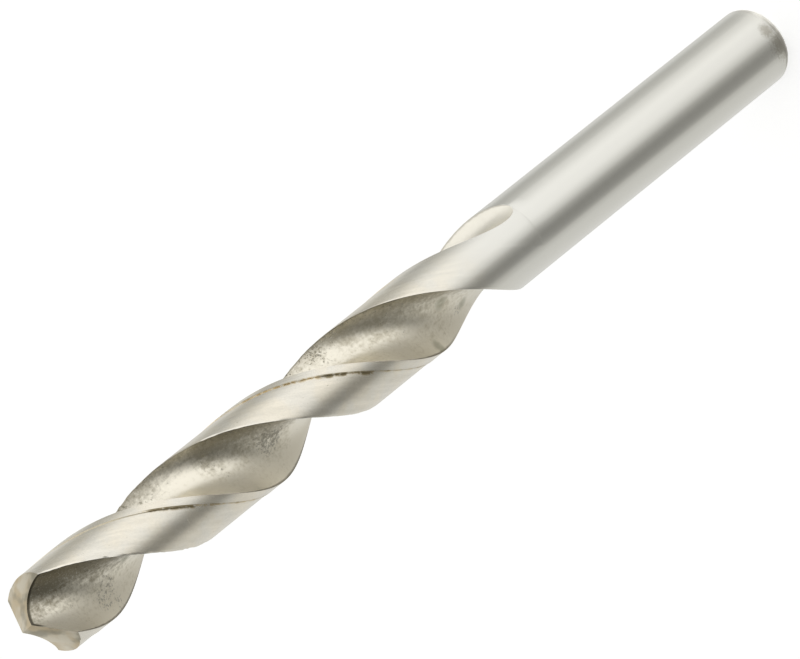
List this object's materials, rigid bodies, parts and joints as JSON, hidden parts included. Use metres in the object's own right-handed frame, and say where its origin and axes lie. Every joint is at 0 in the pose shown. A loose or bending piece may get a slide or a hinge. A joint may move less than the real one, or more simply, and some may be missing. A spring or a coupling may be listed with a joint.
{
  "type": "twist drill bit",
  "caption": "Parallel-shank twist drill with two right-hand helical flutes, ground margins and a conically ground 118 degree point.",
  "frame": {"origin": "centre of the flat end of the shank, which the drill stands on", "axes": "+Z along the drill's axis, from the shank to the point; one lip runs along +X at the point"},
  "size_m": [0.01, 0.01, 0.133],
  "materials": {
    "ground_steel": "bright ground high-speed steel, satin in the flutes"
  },
  "bodies": {
    "root": {"twist_drill": "ground_steel"}
  },
  "joints": []
}
